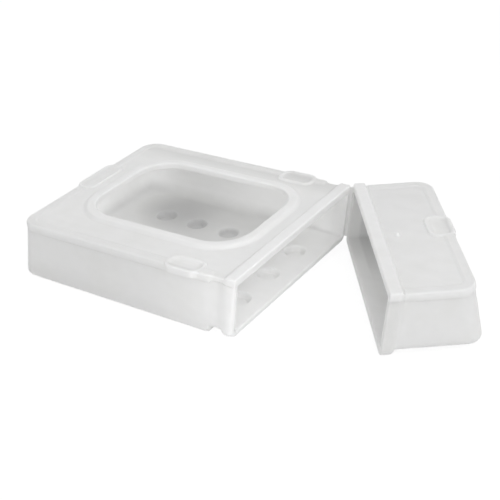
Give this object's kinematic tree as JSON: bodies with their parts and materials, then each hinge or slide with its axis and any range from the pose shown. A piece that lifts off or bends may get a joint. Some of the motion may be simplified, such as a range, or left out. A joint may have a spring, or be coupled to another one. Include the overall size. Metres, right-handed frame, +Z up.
{
  "type": "hinged protective box",
  "caption": "Flat milky plastic box with a rounded window in its top, open at one end, and a deep end cap that swings on a thin flexible web.",
  "frame": {"origin": "centre of the underside of the middle foot, on the resting plane", "axes": "+X from the closed end to the mouth, +Y towards the web side, +Z up"},
  "size_m": [0.2331, 0.1369, 0.0351],
  "materials": {
    "milky_plastic": "satin"
  },
  "bodies": {
    "body": {"body_tray": "milky_plastic", "body_cover": "milky_plastic", "hinge_web": "milky_plastic"},
    "cap": {"cap_tray": "milky_plastic", "cap_cover": "milky_plastic", "cap_hinge_leaf": "milky_plastic"}
  },
  "joints": [
    {"name": "cap_hinge", "type": "hinge", "parent": "body", "child": "cap", "pos_m": [0.05675, 0.0555, 0.0176], "axis": [0, 0, 1], "range_deg": [-36.5, 128]}
  ]
}
